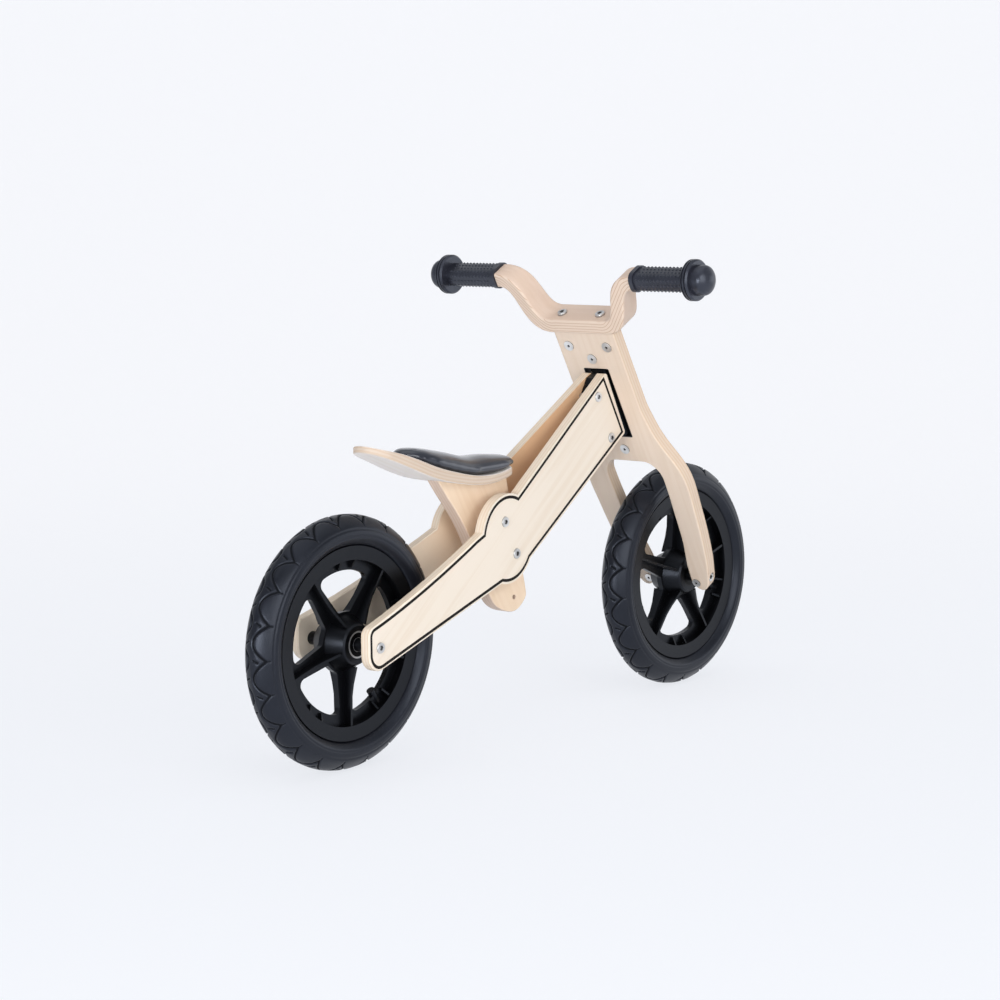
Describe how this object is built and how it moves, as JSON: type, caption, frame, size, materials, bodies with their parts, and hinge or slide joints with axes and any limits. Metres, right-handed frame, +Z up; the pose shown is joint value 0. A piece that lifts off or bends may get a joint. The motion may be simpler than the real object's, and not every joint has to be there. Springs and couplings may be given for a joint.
{
  "type": "balance bike",
  "caption": "Child's wooden balance bike: plywood side plates, flat plywood fork that steers, bent handlebar with flanged grips, padded seat and spoked wheels with air tyres.",
  "frame": {"origin": "on the ground, midway between the two axles, in the centre plane", "axes": "+X forward, +Y to the rider's left, +Z up"},
  "size_m": [0.95, 0.444, 0.5801],
  "materials": {
    "birch_plywood": "clear satin varnish over birch plywood",
    "black_plastic": "satin moulded",
    "tyre_rubber": "matte tread rubber",
    "grip_rubber": "matte soft rubber",
    "black_vinyl": "glossy coated fabric over foam",
    "zinc_steel": "zinc plated",
    "nylon": "moulded black nylon",
    "tube_rubber": "butyl rubber"
  },
  "bodies": {
    "frame": {"right_side_plate": "birch_plywood", "left_side_plate": "birch_plywood", "head_block": "black_plastic", "upper_steering_bush": "nylon", "lower_steering_bush": "nylon", "upper_thrust_washer": "nylon", "lower_thrust_washer": "nylon", "head_bolts": "zinc_steel", "head_sleeve_nuts": "zinc_steel", "seat_post": "birch_plywood", "post_packers": "birch_plywood", "seat_bolts": "zinc_steel", "seat_sleeve_nuts": "zinc_steel", "seat_shell": "birch_plywood", "seat_cushion": "black_vinyl", "seat_screws": "zinc_steel", "rear_axle": "zinc_steel", "rear_axle_bolts": "zinc_steel", "rear_axle_spacers": "black_plastic", "rear_bearing_inner_rings": "zinc_steel"},
    "fork": {"fork_plate": "birch_plywood", "slot_liner": "black_plastic", "handlebar": "birch_plywood", "left_grip": "grip_rubber", "right_grip": "grip_rubber", "handlebar_bolts": "zinc_steel", "handlebar_barrel_nuts": "zinc_steel", "upper_pivot_bolt": "zinc_steel", "lower_pivot_bolt": "zinc_steel", "pivot_barrel_nuts": "zinc_steel", "front_axle": "zinc_steel", "front_axle_bolts": "zinc_steel", "front_axle_spacers": "black_plastic", "fork_tip_dowels": "zinc_steel", "front_bearing_inner_rings": "zinc_steel"},
    "rear_wheel": {"rear_rim": "black_plastic", "rear_tyre": "tyre_rubber", "rear_inner_tube": "tube_rubber", "rear_valve": "tube_rubber", "rear_valve_cap": "black_plastic", "rear_bearing_outer_rings": "zinc_steel"},
    "front_wheel": {"front_rim": "black_plastic", "front_tyre": "tyre_rubber", "front_inner_tube": "tube_rubber", "front_valve": "tube_rubber", "front_valve_cap": "black_plastic", "front_bearing_outer_rings": "zinc_steel"}
  },
  "joints": [
    {"name": "steering", "type": "hinge", "parent": "frame", "child": "fork", "pos_m": [0.18738, 0, 0.394], "axis": [-0.4924, 0, 0.8704], "range_deg": [-10, 10]},
    {"name": "front_wheel_spin", "type": "hinge", "parent": "fork", "child": "front_wheel", "pos_m": [0.326, 0, 0.149], "axis": [0, 1, 0], "continuous": true},
    {"name": "rear_wheel_spin", "type": "hinge", "parent": "frame", "child": "rear_wheel", "pos_m": [-0.326, 0, 0.149], "axis": [0, 1, 0], "continuous": true}
  ]
}
